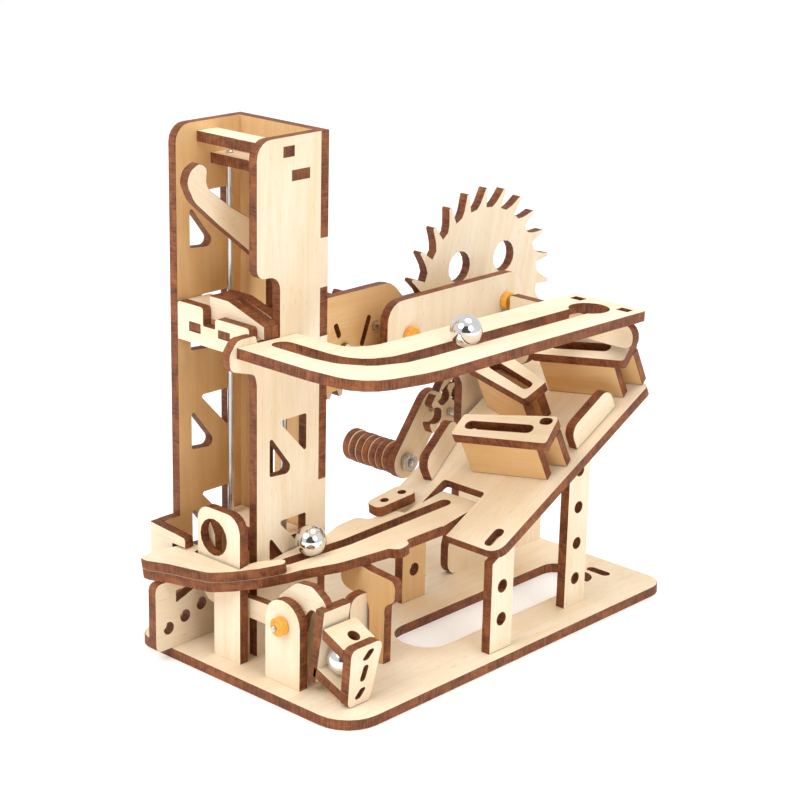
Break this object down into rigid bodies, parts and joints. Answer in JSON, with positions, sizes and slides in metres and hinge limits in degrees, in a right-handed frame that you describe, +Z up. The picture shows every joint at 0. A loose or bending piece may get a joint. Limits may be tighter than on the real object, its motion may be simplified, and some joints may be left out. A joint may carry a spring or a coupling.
{
  "type": "marble run",
  "caption": "Hand-cranked plywood marble run with a ball lift in a truss tower, a flat upper track, a zigzag ramp board and a sloped lower track on one base board",
  "frame": {"origin": "middle of the base board's underside", "axes": "+Z up; +X along the base board's long side, from the tower to the gears; +Y across it, from the upper track to the crank"},
  "size_m": [0.1571, 0.0909, 0.1495],
  "materials": {
    "ply": "laser-cut 3 mm plywood with scorched edges",
    "steel": "polished steel",
    "cap": "smooth translucent amber plastic"
  },
  "bodies": {
    "frame": {"base_plate": "ply", "tower_left_wall": "ply", "tower_right_wall": "ply", "tower_back_wall": "ply", "tower_top_beam": "ply", "rod_holder": "ply", "lift_rod_right": "steel", "lift_rod_left": "steel", "ball_deflector": "ply", "exit_front_plate": "ply", "exit_ramp_block": "ply", "upper_track": "ply", "track_end_support": "ply", "gear_front_plate": "ply", "gear_rear_plate": "ply", "plate_stay": "cap", "zigzag_board": "ply", "ramp_1_front_wall": "ply", "ramp_1_rear_wall": "ply", "ramp_1_roof": "ply", "ramp_2_front_wall": "ply", "ramp_2_rear_wall": "ply", "ramp_2_roof": "ply", "ramp_3_front_wall": "ply", "ramp_3_rear_wall": "ply", "ramp_3_roof": "ply", "guard_left": "ply", "guard_right": "ply", "post_front": "ply", "post_right": "ply", "post_rear": "ply", "lower_track": "ply", "lower_track_layer": "ply", "track_guard_block": "ply", "track_bracket": "ply", "ring_plate": "ply", "entry_side_plate": "ply", "entry_fence": "ply", "lever_front_post": "ply", "lever_rear_post": "ply"},
    "gear_wheel": {"big_gear": "ply", "big_gear_axle": "cap"},
    "crank": {"crank_arm": "ply", "crank_shaft": "steel", "crank_pinion": "ply", "crank_bolt": "steel", "crank_grip": "ply"},
    "lift_shafting": {"lift_axle": "steel", "small_gear": "ply", "lift_pinion": "ply"},
    "idler": {"idler_gear": "ply"},
    "lift": {"lift_car": "ply", "lift_rack": "ply"},
    "lever": {"lever_arm": "ply", "lever_axle": "cap", "bucket_top": "ply", "bucket_end": "ply", "caged_ball": "steel"},
    "ball_above": {"upper_ball": "steel"},
    "ball_below": {"lower_ball": "steel"}
  },
  "joints": [
    {"name": "big_gear_spin", "type": "hinge", "parent": "frame", "child": "gear_wheel", "pos_m": [0.0479, 0.0185, 0.087], "axis": [0, 1, 0], "range_deg": [0, 166]},
    {"name": "crank_spin", "type": "hinge", "parent": "frame", "child": "crank", "pos_m": [0.035, 0.0185, 0.0518], "axis": [0, 1, 0], "range_deg": [-667, 3]},
    {"name": "lift_axle_spin", "type": "hinge", "parent": "frame", "child": "lift_shafting", "pos_m": [0.01199, 0.0185, 0.07619], "axis": [0, 1, 0], "range_deg": [-667, 3]},
    {"name": "idler_spin", "type": "hinge", "parent": "frame", "child": "idler", "pos_m": [-0.00855, 0.0255, 0.08056], "axis": [0, 1, 0], "range_deg": [-1, 267]},
    {"name": "lift_travel", "type": "slide", "parent": "frame", "child": "lift", "axis": [0, 0, 1], "range_m": [-0.0002, 0.0698]},
    {"name": "lever_tilt", "type": "hinge", "parent": "frame", "child": "lever", "pos_m": [-0.059, -0.0117, 0.0205], "axis": [1, 0, 0], "range_deg": [-14, 0]},
    {"name": "upper_ball_roll", "type": "slide", "parent": "frame", "child": "ball_above", "axis": [0.9999, 0, -0.015], "range_m": [-0.014, 0.04]},
    {"name": "lower_ball_roll", "type": "slide", "parent": "frame", "child": "ball_below", "axis": [-0.9334, 0.3292, -0.1428], "range_m": [-0.006, 0.006]}
  ],
  "couplings": [
    {"joint": "crank_spin", "follows": "big_gear_spin", "ratio": -4},
    {"joint": "lift_axle_spin", "follows": "big_gear_spin", "ratio": -4},
    {"joint": "idler_spin", "follows": "big_gear_spin", "ratio": 1.6},
    {"joint": "lift_travel", "follows": "big_gear_spin", "m_per_rad": 0.024}
  ]
}
